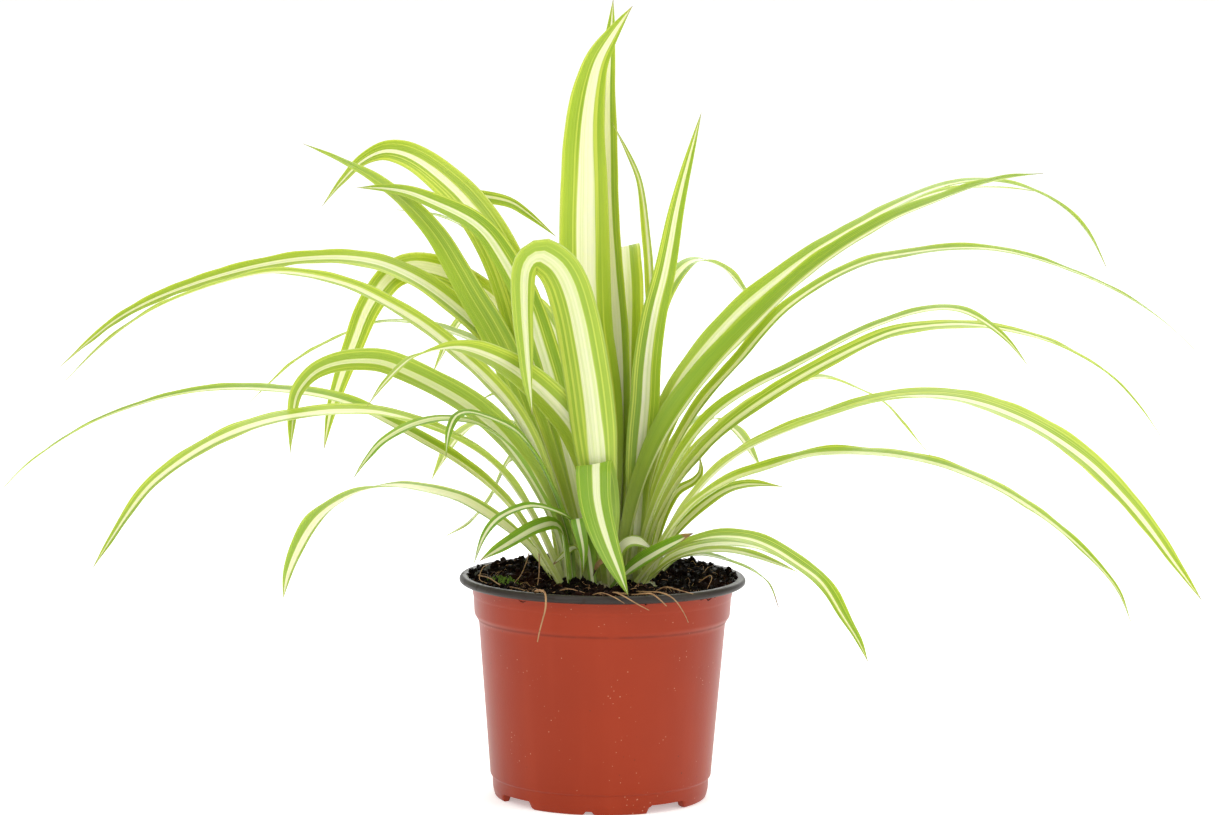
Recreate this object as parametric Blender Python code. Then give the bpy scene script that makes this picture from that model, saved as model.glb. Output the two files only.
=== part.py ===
"""A spider plant in its nursery pot: a clump of three rosettes, 330 mm tall and 500 mm across.

Metres, +Z up, +Y away from the front. The origin is on the surface the pot stands on, at the pot's axis.
Lengths named here are millimetres, and MM takes them to metres.
"""

import math

import bmesh
import bpy
import numpy as np
from mathutils import Matrix, Vector, noise
from mathutils.bvhtree import BVHTree

MM = 0.001
GAP = 0.3  # clearance between pieces that touch

# Pot
POT_HEIGHT = 93.0
RIM_RADIUS = 60.0
RIM_DEPTH = 4.4
COLLAR_RADIUS = 53.7
COLLAR_FOOT = 75.0  # height at which the collar steps in to the tapered wall
WALL_TOP_RADIUS = 51.7
WALL_FOOT_RADIUS = 46.4
FOOT_RADIUS = 45.3
FLOOR_HEIGHT = 3.8  # the floor stands clear of the surface by the feet
WALL = 1.0
POT_SIDES = 48
FOOT_COUNT = 4
FOOT_GAP_DEG = 24.0
FRONT_FOOT_DEG = -6.4  # turn of the first foot away from the front
NOTCH = (3.6, 1.5)  # width and height of the drain notch in each foot

# Soil
SOIL_LEVEL = 90.8
SOIL_ROUGHNESS = 1.4
SOIL_RISE = 1.6  # from the middle to the back
SOIL_RINGS = (47.0, 38.0, 28.0, 18.0, 9.0)

# Crowns: centre and half-sizes of each short, thick stem, and how flat its top is
CROWNS = {
    "left_crown": ((-16.4, -1.0, 87.0), (8.5, 19.0, 6.2)),
    "middle_crown": ((1.1, 0.0, 87.2), (8.3, 19.0, 6.2)),
    "right_crown": ((18.5, 0.0, 87.0), (8.5, 19.0, 6.2)),
}
CROWN_FLATNESS = 4
BASE_REACH = 0.8  # leaves grow from within this share of a crown's half-depth

# Leaves
BLADE_THICKNESS = (1.0, 0.55)  # at the base, at the tip
BASE_WIDTH = 0.42  # share of the full width where the leaf leaves its crown
CHANNEL = (0.34, 0.13, 0.16)  # rise of the margins over the midrib, as a share of the width
FLATTENING = 8.0  # how much a bend flattens the channel
TAPER = 3.6  # the higher, the nearer to its tip a leaf keeps its full width
RING_PITCH = 17.0
BEND_EFFORT = 22.0  # a turn of one radian takes as many rings as this much length
FEWEST_RINGS, MOST_RINGS = 8, 18
EASE_LENGTH = 30.0  # a move of the base dies out over this length
LINE_STEP, EASE_ROUNDS = 1.0, 10  # a midrib's steps, and how often each is evened with its neighbours

# How leaves that touch are moved apart, a little in each round
SPREAD_ROUNDS = 260
SPREAD_STEP = 0.55
SPREAD_CLEARANCE = 0.28
SPREAD_MARGIN = 12.0  # a leaf's edges and arch lie within this of its rings' box
SWAY_SHARE, SWAY_LENGTH = 0.12, 6.0  # a nudge bends this share of the leaf, plus this length
SWAY_WEIGHT = 1.6  # the least weight over which a nudge is shared
BASE_GIVE, GIVE_LENGTH = 0.22, 40.0  # how far the base gives, and where a leaf is free to

# The leaves are set out in millimetres as they are sighted from in front, and each point is then
# carried along its line of sight to the depth it has.
EYE = np.array([2.8, -1500.0, 320.0])

# Each leaf: its full width, its depth and its twist from base to tip, and its sighted points (x, z).
# A positive twist turns the upper side towards the front. A heading, in degrees from +X, is given
# where the leaf bends over in another direction than the one from its base to its tip.
LEAVES = {
    # Left, from the highest down
    "left_leaf_01": dict(width=15, depth=(-5, 14, 60), twist=(50, 50, 30), taper=2.2, path=[
        (-5, 94), (-12, 108), (-22, 135), (-32, 162), (-44, 190), (-57, 212), (-70, 234), (-85, 250),
        (-105, 263), (-126, 272)]),
    "left_leaf_02": dict(width=19, depth=(3, 30, 100), twist=(50, 50, 60), path=[
        (-5, 94), (-11, 115), (-20, 150), (-31, 190), (-42, 223), (-55, 245), (-70, 260), (-83, 268),
        (-94, 269), (-105, 262), (-118, 246)]),
    "left_leaf_03": dict(width=14, depth=(0, 14, 40), twist=(35, 40, 60), path=[
        (-3, 94), (-8, 115), (-19, 165), (-28, 195), (-34, 211), (-47, 233), (-57, 242), (-68, 247),
        (-80, 252), (-92, 254), (-104, 254)]),
    "left_leaf_04": dict(width=8, depth=(10, 36, 100), twist=(15, 10, 0), path=[
        (-4, 95), (-12, 115), (-26, 155), (-35, 183), (-44, 213), (-49, 226), (-56, 236), (-64, 241),
        (-75, 244), (-87, 245)]),
    "left_leaf_05": dict(width=12, depth=(9, 75, 60), twist=(30, 15, -45), heading=80, path=[
        (0, 95), (-10, 130), (-27, 180), (-43, 220), (-56, 243), (-60, 249), (-55, 251), (-46, 250),
        (-38, 248), (-30, 242), (-20, 234)]),
    "left_leaf_06": dict(width=13, depth=(5, 34, 130), twist=(25, 20, 60), path=[
        (-11, 95), (-15, 110), (-24, 145), (-36, 178), (-50, 194), (-65, 207), (-80, 217), (-95, 223),
        (-112, 225), (-135, 223), (-160, 217), (-185, 208), (-205, 197), (-227, 178)]),
    "left_leaf_07": dict(width=11, depth=(-3, -20, -90), twist=(-30, -20, 5), path=[
        (-12, 95), (-16, 110), (-23, 132), (-33, 155), (-45, 171), (-60, 185), (-75, 197), (-92, 207),
        (-110, 215), (-133, 219), (-150, 217), (-170, 211), (-190, 202), (-208, 189), (-225, 172)]),
    "left_leaf_08": dict(width=11, depth=(-14, -22, -2), twist=(20, 10, 0), path=[
        (-19, 90), (-26, 102), (-35, 117), (-47, 130), (-60, 140), (-75, 149), (-90, 157),
        (-105, 164), (-120, 168), (-140, 170), (-160, 170), (-180, 167), (-200, 161),
        (-220, 152), (-240, 138), (-251, 127)]),
    "left_leaf_09": dict(width=16, depth=(-8, -45, -140), twist=(20, 25, 12), path=[
        (-18, 94), (-24, 108), (-32, 123), (-44, 139), (-58, 149), (-72, 155), (-90, 160), (-108, 161),
        (-128, 159), (-145, 155), (-162, 148), (-178, 138), (-190, 128), (-200, 115), (-207, 104),
        (-214, 93)]),
    "left_leaf_10": dict(width=13, depth=(0, 30, 80), twist=(10, -8, -55), path=[
        (-22, 94), (-32, 106), (-45, 116), (-58, 124), (-72, 128), (-86, 130), (-98, 129), (-110, 124),
        (-120, 116), (-127, 105), (-132, 92), (-134, 81)]),
    "left_leaf_11": dict(width=16, depth=(12, 36, 50), twist=(20, 60, 85), path=[
        (-11, 94), (-16, 125), (-27, 170), (-43, 201), (-55, 212), (-65, 218), (-76, 221), (-85, 220),
        (-92, 214), (-99, 203), (-104, 190), (-109, 176), (-113, 165), (-117, 144)]),
    "left_leaf_12": dict(width=14, depth=(-4, -16, -50), twist=(-30, -45, -80), path=[
        (-15, 95), (-17, 106), (-24, 125), (-34, 142), (-47, 157), (-62, 168), (-80, 177), (-93, 182),
        (-108, 182), (-120, 178), (-128, 169), (-130, 160), (-131, 142)]),
    "left_leaf_13": dict(width=8, depth=(8, 55, 140), twist=(10, 5, 0), path=[
        (-12, 95), (-16, 115), (-25, 160), (-35, 180), (-50, 189), (-62, 194), (-75, 198),
        (-88, 199), (-100, 197), (-115, 190), (-130, 181), (-148, 164)]),
    "left_leaf_14": dict(width=16, depth=(-10, -24, -80), twist=(-50, -30, 5), path=[
        (-4, 94), (-3, 105), (-3, 125), (-7, 143), (-14, 157), (-27, 171), (-42, 182), (-57, 188),
        (-68, 188), (-80, 184), (-90, 175), (-99, 163)]),
    "left_leaf_15": dict(width=8, depth=(9, 50, 90), twist=(20, 15, 10), path=[
        (-9, 95), (-12, 115), (-17, 150), (-23, 167), (-30, 172), (-40, 171), (-50, 167), (-55, 164)]),
    "left_leaf_16": dict(width=8, depth=(-15, -34, -55), twist=(20, 20, 10), path=[
        (-5, 94), (-7, 106), (-14, 117), (-24, 121), (-30, 122), (-37, 120), (-43, 117), (-48, 112),
        (-51, 106), (-54, 97)]),
    "left_leaf_17": dict(width=9, depth=(-17, -26, -50), twist=(60, 40, 45), path=[
        (-14, 91), (-15, 100), (-16, 109), (-18, 114), (-22, 115), (-30, 112), (-38, 107),
        (-46, 102), (-52, 98)]),
    "left_leaf_18": dict(width=7, depth=(-11, -12.5, -14, -16, -19.5, -23, -24, -24.5, -25),
                           twist=(0, 0, 0), heading=-100, path=[
        (-4, 94), (-6, 106), (-10, 115), (-11, 118), (-10, 113), (-8, 103), (-8, 94)]),
    "left_leaf_19": dict(width=4, depth=(-10, -14, -22), twist=(30, 30, 30), path=[
        (-9, 94), (-9, 101), (-11, 107), (-14, 104), (-22, 96)]),
    "left_leaf_20": dict(width=10, depth=(7, 34, 70), twist=(20, 30, 20), path=[
        (-15, 95), (-17, 115), (-24, 135), (-31, 144), (-38, 143), (-43, 135), (-48, 124),
        (-57, 114), (-67, 108)]),
    "left_leaf_21": dict(width=10, depth=(-12, -30, -62), twist=(35, 35, 10), path=[
        (-12, 94), (-13, 105), (-17, 120), (-25, 138), (-35, 152), (-46, 158), (-56, 161),
        (-62, 159), (-65, 151), (-66, 142)]),
    "left_leaf_22": dict(width=9, depth=(-13, -38, -95), twist=(25, 25, 10), path=[
        (-15, 94), (-17, 106), (-22, 120), (-28, 131), (-35, 142), (-42, 150), (-52, 156),
        (-62, 158), (-70, 158), (-78, 156), (-85, 153), (-95, 146), (-105, 132)]),
    # Middle
    "middle_leaf_01": dict(width=22, depth=(5, 14, 20), twist=(0, 0, -45), heading=90, taper=6, path=[
        (2, 95), (2, 110), (-1, 150), (-6, 185), (-8, 200), (-9, 240), (-9, 260), (-9, 280), (-7, 297),
        (-4, 308), (1, 317), (10, 330)]),
    "middle_leaf_02": dict(width=13, depth=(9, 24, 40), twist=(-30, -30, -30), heading=90, taper=6, path=[
        (5, 95), (6, 110), (6, 150), (5, 190), (1, 235), (0, 270), (0, 300), (2, 333)]),
    "middle_leaf_03": dict(width=20, depth=(-4, -8, -12, -14, -15, -16, -19, -24, -27, -28, -30),
                           twist=(0, 0, 0), heading=-100, taper=5, path=[
        (1, 94), (-1, 120), (-6, 165), (-10, 190), (-14, 208), (-19, 220), (-26, 226), (-31, 225),
        (-34, 216), (-33, 190), (-30, 160)]),
    "middle_leaf_04": dict(width=15, depth=(12, 14, 17, 20, 24, 29, 38, 58, 72),
                           twist=(0, 0, 0), heading=80, taper=8, path=[
        (7, 95), (8, 110), (9, 150), (9, 190), (9, 213), (8, 228), (8, 232), (7, 227), (7, 203)]),
    "middle_leaf_05": dict(width=9, depth=(6, 12, 24), twist=(-40, -50, -40), heading=80, path=[
        (9, 95), (12, 112), (17, 160), (19, 200), (18, 225), (16, 243), (13, 260), (2, 282)]),
    "middle_leaf_06": dict(width=14, depth=(-1, 8, 20), twist=(0, 0, 0), heading=80, taper=2.2, path=[
        (12, 95), (14, 110), (15, 140), (17, 165), (18, 185), (21, 205), (25, 222), (28, 240),
        (31, 255), (39, 287)]),
    "middle_leaf_07": dict(width=16, depth=(-13, -16, -17, -19, -29, -35, -42, -50, -56),
                           twist=(0, 0, 0), heading=-90, path=[
        (3, 94), (0, 120), (-3, 136), (-4, 141), (-4, 135), (-3, 122), (1, 108), (5, 98), (11, 84)]),
    # Right, from the highest down
    "right_leaf_01": dict(width=17, depth=(-4, -4, -40), twist=(50, 35, 15), path=[
        (8, 94), (10, 110), (15, 131), (23, 151), (34, 169), (46, 184), (58, 197), (72, 211), (88, 225),
        (104, 236), (120, 245), (140, 253), (160, 260), (181, 263)]),
    "right_leaf_02": dict(width=13, depth=(2, 24, 90), twist=(45, 30, 0, 0), path=[
        (12, 95), (14, 112), (18, 138), (25, 160), (34, 177), (46, 193), (60, 208), (76, 221),
        (92, 233), (106, 241), (118, 248), (130, 254), (142, 258), (155, 260), (168, 259), (180, 255),
        (190, 249), (200, 239), (208, 224)]),
    "right_leaf_03": dict(width=11, depth=(7, 50, 130), twist=(20, 20, 0), path=[
        (13, 95), (15, 112), (20, 138), (29, 162), (39, 180), (52, 195), (68, 210), (84, 223),
        (97, 232), (110, 240), (122, 248), (135, 254), (150, 257), (165, 257), (181, 255)]),
    "right_leaf_04": dict(width=9, depth=(10, 50, 40), twist=(35, 30, 10), path=[
        (14, 96), (17, 112), (26, 140), (40, 166), (60, 189), (70, 202), (80, 210), (90, 217),
        (100, 222), (112, 227), (130, 230), (150, 232), (170, 230), (190, 224), (210, 216), (230, 204),
        (246, 190)]),
    "right_leaf_05": dict(width=13, depth=(-6, -22, -70), twist=(40, 25, 15), path=[
        (15, 94), (18, 112), (26, 133), (35, 149), (46, 162), (60, 172), (75, 180), (90, 188),
        (105, 196), (120, 202), (134, 206), (147, 206), (158, 201), (167, 194), (177, 182)]),
    "right_leaf_06": dict(width=10, depth=(0, 10, 50), twist=(25, 20, 0), path=[
        (17, 95), (21, 113), (30, 131), (42, 147), (56, 160), (72, 171), (88, 181), (104, 189),
        (118, 196), (135, 199), (150, 200), (165, 198), (180, 195), (195, 189), (210, 180), (222, 168),
        (233, 153)]),
    "right_leaf_07": dict(width=8, depth=(9, 60, 140), twist=(10, 5, 20), path=[
        (16, 96), (22, 115), (38, 145), (60, 165), (74, 173), (88, 177), (98, 176), (105, 173),
        (112, 170), (118, 166), (125, 158), (137, 144)]),
    "right_leaf_08": dict(width=17, depth=(-3, -44, -150), twist=(15, 25, 35), path=[
        (20, 94), (28, 112), (40, 131), (55, 145), (72, 154), (90, 161), (108, 167), (125, 170),
        (142, 170), (158, 167), (180, 158), (200, 145), (213, 133), (225, 120), (237, 104), (252, 84)]),
    "right_leaf_09": dict(width=12, depth=(-9, -40, -90), twist=(35, 15, 15), path=[
        (18, 94), (26, 109), (36, 122), (48, 131), (60, 137), (74, 141), (86, 145), (103, 146),
        (121, 145), (137, 142), (150, 138), (168, 130), (188, 117), (204, 103), (216, 89),
        (222, 75)]),
    "right_leaf_10": dict(width=8, depth=(3, 10, 20), twist=(30, 30, 30), path=[
        (21, 95), (28, 109), (38, 120), (50, 129), (61, 132), (75, 131)]),
    "right_leaf_11": dict(width=6, depth=(8, 16, 18), twist=(30, 30, 40), path=[
        (19, 96), (25, 118), (31, 129), (37, 132), (41, 137), (40, 144)]),
    "right_leaf_12": dict(width=12, depth=(-11, -40, -75), twist=(20, 20, 20), path=[
        (15, 92), (22, 100), (32, 106), (45, 110), (57, 110), (68, 107), (80, 100), (92, 91),
        (101, 77), (109, 64), (112, 57)]),
    "right_leaf_13": dict(width=8, depth=(2, 24, 60), twist=(20, 15, 20), path=[
        (22, 94), (28, 101), (38, 105), (50, 107), (62, 106), (75, 101), (86, 94)]),
    "right_leaf_14": dict(width=8, depth=(-7, -12, -30), twist=(20, 20, 20), path=[
        (21, 93), (28, 99), (38, 103), (52, 104), (66, 101), (82, 95)]),
    "right_leaf_15": dict(width=5, depth=(6, 30, 60), twist=(15, 15, 20), path=[
        (24, 94), (30, 100), (37, 102), (44, 102), (55, 99), (64, 95), (70, 90), (74, 80)]),
    "right_leaf_16": dict(width=9, depth=(-14, -24, -34), twist=(50, 50, 50), path=[
        (6, 93), (12, 98), (24, 104), (38, 111)]),
    "right_leaf_17": dict(width=8, depth=(-10, -10, -12), twist=(40, 40, 40), path=[
        (5, 94), (6, 102), (9, 107), (14, 108), (21, 104)]),
    "right_leaf_18": dict(width=4, depth=(-12, -14, -16), twist=(20, 20, 20), path=[
        (3, 95), (3, 102), (-1, 101), (-3, 97), (-4, 93)]),
    # Back
    "back_leaf_01": dict(width=13, depth=(11, 60, 150), twist=(0, 0, 0), path=[
        (-1, 96), (-8, 150), (-22, 196), (-40, 212), (-60, 200), (-72, 176)]),
    "back_leaf_02": dict(width=13, depth=(13, 60, 150), twist=(0, 0, 0), path=[
        (7, 96), (11, 150), (20, 200), (34, 224), (50, 222), (64, 204)]),
    "back_leaf_03": dict(width=12, depth=(12, 50, 120), twist=(0, 0, 0), path=[
        (-17, 96), (-22, 125), (-33, 150), (-48, 158), (-62, 150), (-72, 132)]),
    "back_leaf_04": dict(width=12, depth=(12, 50, 125), twist=(0, 0, 0), path=[
        (18, 96), (22, 125), (33, 150), (44, 160), (56, 154), (66, 138)]),
    "back_leaf_05": dict(width=11, depth=(14, 70, 150), twist=(0, 0, 0), heading=90, path=[
        (-1, 96), (-1, 130), (-2, 165), (-4, 176), (-6, 170), (-8, 150)]),
    "back_leaf_06": dict(width=10, depth=(13, 50, 95), twist=(0, 0, 0), heading=90, path=[
        (9, 96), (11, 115), (14, 132), (17, 138), (20, 132), (22, 118)]),
}
# The loose roots on the front of the soil, each a radius and its points (x, y, z)
ROOTS = {
    "front_root": dict(radius=0.55, points=[
        (-26, -44, 91.6), (-27.2, -49, 93.2), (-25.4, -54, 94.6), (-23.2, -58.5, 94.4),
        (-22.6, -61.4, 92.0), (-22.8, -62.0, 88), (-24.0, -60.2, 83), (-25.2, -58.4, 78)]),
    "rim_root": dict(radius=0.5, points=[
        (6, -42, 91.6), (9, -46, 91.8), (13, -51, 92.4), (17, -55, 93.8), (20, -57.6, 93.9),
        (23, -58.2, 93.2)]),
}


def material(name, colour, roughness, metallic=0.0):
    made = bpy.data.materials.new(name)
    made.use_nodes = True
    shader = made.node_tree.nodes["Principled BSDF"]
    shader.inputs["Base Color"].default_value = (*colour, 1.0)
    shader.inputs["Roughness"].default_value = roughness
    shader.inputs["Metallic"].default_value = metallic
    return made


def add_object(name, mesh, finish):
    obj = bpy.data.objects.new(name, mesh)
    mesh.materials.append(finish)
    bpy.context.scene.collection.objects.link(obj)
    return obj


def mesh_from(bm, name):
    bmesh.ops.recalc_face_normals(bm, faces=bm.faces)
    mesh = bpy.data.meshes.new(name)
    bm.to_mesh(mesh)
    bm.free()
    mesh.shade_smooth()
    mesh.set_sharp_from_angle(angle=math.radians(35))
    return mesh


def turned(profile, sides):
    """A closed bmesh turned about Z from (radius, height) points in millimetres, its ends on the axis."""
    bm = bmesh.new()
    points = [bm.verts.new((radius * MM, 0, height * MM)) for radius, height in profile]
    edges = [bm.edges.new(pair) for pair in zip(points, points[1:])]
    bmesh.ops.spin(
        bm, geom=points + edges, axis=(0, 0, 1), cent=(0, 0, 0), angle=math.tau, steps=sides, use_merge=True
    )
    bmesh.ops.remove_doubles(bm, verts=bm.verts, dist=0.01 * MM)
    return bm


def hide(cutter):
    cutter.hide_render = True
    cutter.display_type = "WIRE"


def cut(obj, cutter):
    hide(cutter)
    boolean = obj.modifiers.new(cutter.name, "BOOLEAN")
    boolean.operation = "DIFFERENCE"
    boolean.object = cutter


def inner_wall():
    """The pot's inside from the floor's edge up to the rim, as (radius, height) points."""
    return [
        (WALL_FOOT_RADIUS - 2.6, FLOOR_HEIGHT + WALL),
        (WALL_FOOT_RADIUS - 1.4, FLOOR_HEIGHT + 2.6 * WALL),
        (WALL_TOP_RADIUS - WALL, COLLAR_FOOT - 1.5),
        (COLLAR_RADIUS - 1.3, COLLAR_FOOT + 3),
        (COLLAR_RADIUS - 0.4, POT_HEIGHT - 6),
        (COLLAR_RADIUS + 1.6, POT_HEIGHT - 2),
    ]


def build_pot():
    neck = COLLAR_RADIUS + 1.2
    outer = [
        (RIM_RADIUS - 3.6, POT_HEIGHT - 0.3),
        (RIM_RADIUS - 2.2, POT_HEIGHT),
        (RIM_RADIUS - 0.7, POT_HEIGHT - 0.6),
        (RIM_RADIUS, POT_HEIGHT - 2.0),
        (RIM_RADIUS - 0.1, POT_HEIGHT - 3.3),
        (RIM_RADIUS - 1.4, POT_HEIGHT - RIM_DEPTH),
        (neck, POT_HEIGHT - RIM_DEPTH - 0.3),
        (COLLAR_RADIUS + 0.3, POT_HEIGHT - 11),
        (COLLAR_RADIUS - 0.2, COLLAR_FOOT + 2.2),
        (WALL_TOP_RADIUS + 0.7, COLLAR_FOOT),
        (WALL_TOP_RADIUS, COLLAR_FOOT - 1.8),
        (WALL_FOOT_RADIUS, 8.8),
        (FOOT_RADIUS + 0.1, 8.0),
        (FOOT_RADIUS, 3.6),
        (FOOT_RADIUS - 0.7, 1.0),
        (FOOT_RADIUS - 2.0, 0.0),
        (FOOT_RADIUS - 3.6, 0.0),
        (FOOT_RADIUS - 4.0, FLOOR_HEIGHT),
    ]
    floor_top, floor_under = (0, FLOOR_HEIGHT + WALL), (0, FLOOR_HEIGHT)
    profile = [floor_top] + inner_wall() + outer + [floor_under]
    terracotta = material("terracotta_plastic", (0.38, 0.055, 0.022), 0.42)
    pot = add_object("nursery_pot", mesh_from(turned(profile, POT_SIDES), "nursery_pot"), terracotta)
    for index in range(FOOT_COUNT):
        foot = math.radians(-90 + FRONT_FOOT_DEG + index * 360 / FOOT_COUNT)
        gap = foot + math.pi / FOOT_COUNT
        width = 2 * FOOT_RADIUS * math.tan(math.radians(FOOT_GAP_DEG / 2))
        cut(pot, foot_cutter(f"foot_gap_{index + 1}", gap, width, FLOOR_HEIGHT - GAP, 1.2))
        cut(pot, foot_cutter(f"drain_notch_{index + 1}", foot, NOTCH[0], NOTCH[1], 0.3))
    return pot


def foot_cutter(name, angle, width, height, slope):
    """A trapezium bar through the foot ring at this angle: its sides lean in by slope towards the top."""
    bm = bmesh.new()
    bmesh.ops.create_cube(bm, size=1)
    for vert in bm.verts:
        lean = slope if vert.co.z > 0 else -slope
        across = math.copysign(width / 2 - lean, vert.co.y)
        along = FOOT_RADIUS - 10 if vert.co.x < 0 else FOOT_RADIUS + 5
        vert.co = Vector((along, across, height if vert.co.z > 0 else -height)) * MM
    bmesh.ops.rotate(bm, verts=bm.verts, matrix=Matrix.Rotation(angle, 3, "Z"), cent=(0, 0, 0))
    return add_object(name, mesh_from(bm, name), material(name, (0.5, 0.5, 0.5), 0.5))


def crown_body(name, grow=0.0):
    centre, half = CROWNS[name]
    bm = bmesh.new()
    bmesh.ops.create_icosphere(bm, subdivisions=3, radius=1)
    for vert in bm.verts:
        out = vert.co.xy.length
        height = math.copysign((1 - min(out, 1) ** CROWN_FLATNESS) ** 0.5, vert.co.z)
        spot = (vert.co.x, vert.co.y, height if out < 0.999 else 0)
        vert.co = Vector([MM * (c + v * (h + grow)) for c, v, h in zip(centre, spot, half)])
    return bm


def build_crowns():
    finish = material("crown_flesh", (0.55, 0.56, 0.36), 0.6)
    return [add_object(name, mesh_from(crown_body(name), name), finish) for name in CROWNS]


def soil_height(x, y):
    """The rough top of the soil, a little higher at the back; millimetres."""
    rough = SOIL_ROUGHNESS * noise.noise(Vector((x, y, 0)) * 0.07)
    return SOIL_LEVEL + SOIL_RISE * y / SOIL_RINGS[0] + rough


def build_soil():
    """The root ball: it follows the pot's inside a gap away, and its top is rough and dips to the rim."""
    sides = [(radius - GAP, height) for radius, height in inner_wall()[:-1]]
    sides[0] = (sides[0][0], FLOOR_HEIGHT + WALL + GAP)
    edge = (COLLAR_RADIUS + 0.2, POT_HEIGHT - 3.4)
    top = [(radius, SOIL_LEVEL) for radius in SOIL_RINGS] + [(0, SOIL_LEVEL)]
    bm = turned([(0, FLOOR_HEIGHT + WALL + GAP)] + sides + [edge] + top, POT_SIDES)
    for vert in bm.verts:
        radius = math.hypot(vert.co.x, vert.co.y) / MM
        if vert.co.z / MM > SOIL_LEVEL - 0.1 and radius < SOIL_RINGS[0] + 0.1:
            vert.co.z = soil_height(vert.co.x / MM, vert.co.y / MM) * MM
    finish = material("soil", (0.012, 0.006, 0.004), 0.95)
    soil = add_object("potting_soil", mesh_from(bm, "potting_soil"), finish)
    for name in CROWNS:
        pocket = mesh_from(crown_body(name, GAP), name + "_pocket")
        cut(soil, add_object(name + "_pocket", pocket, finish))
    return soil


def smooth_through(values, at):
    """Catmull-Rom curve through evenly spaced values, read at positions from 0 to 1."""
    values = np.asarray(values, float)
    ends = np.concatenate([2 * values[:1] - values[1:2], values, 2 * values[-1:] - values[-2:-1]])
    place = np.clip(np.asarray(at, float), 0, 1) * (len(values) - 1)
    first = np.minimum(place.astype(int), len(values) - 2)
    t = place - first
    if values.ndim > 1:
        t = t[:, None]
    a, b, c, d = (ends[first + k] for k in range(4))
    return 0.5 * (2 * b + (c - a) * t + (2 * a - 5 * b + 4 * c - d) * t**2 + (3 * b - a - 3 * c + d) * t**3)


def sighted(points, depth):
    """Points (x, z) as they look from EYE, carried to their depth."""
    far = 1 + depth / -EYE[1]
    x = EYE[0] + (points[:, 0] - EYE[0]) * far
    z = EYE[2] + (points[:, 1] - EYE[2]) * far
    return np.stack([x, depth, z], axis=1)


def unit(vectors):
    return vectors / np.linalg.norm(vectors, axis=-1, keepdims=True)


def length_along(points):
    return np.concatenate([[0], np.cumsum(np.linalg.norm(np.diff(points, axis=0), axis=1))])


def eased(line):
    """The line at even steps, with its sharpest turns rounded off."""
    along = length_along(line)
    even = np.linspace(0, along[-1], int(along[-1] / LINE_STEP))
    line = np.stack([np.interp(even, along, axis) for axis in line.T], axis=1)
    for _ in range(EASE_ROUNDS):
        line[1:-1] = (line[:-2] + 2 * line[1:-1] + line[2:]) / 4
    return line


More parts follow.
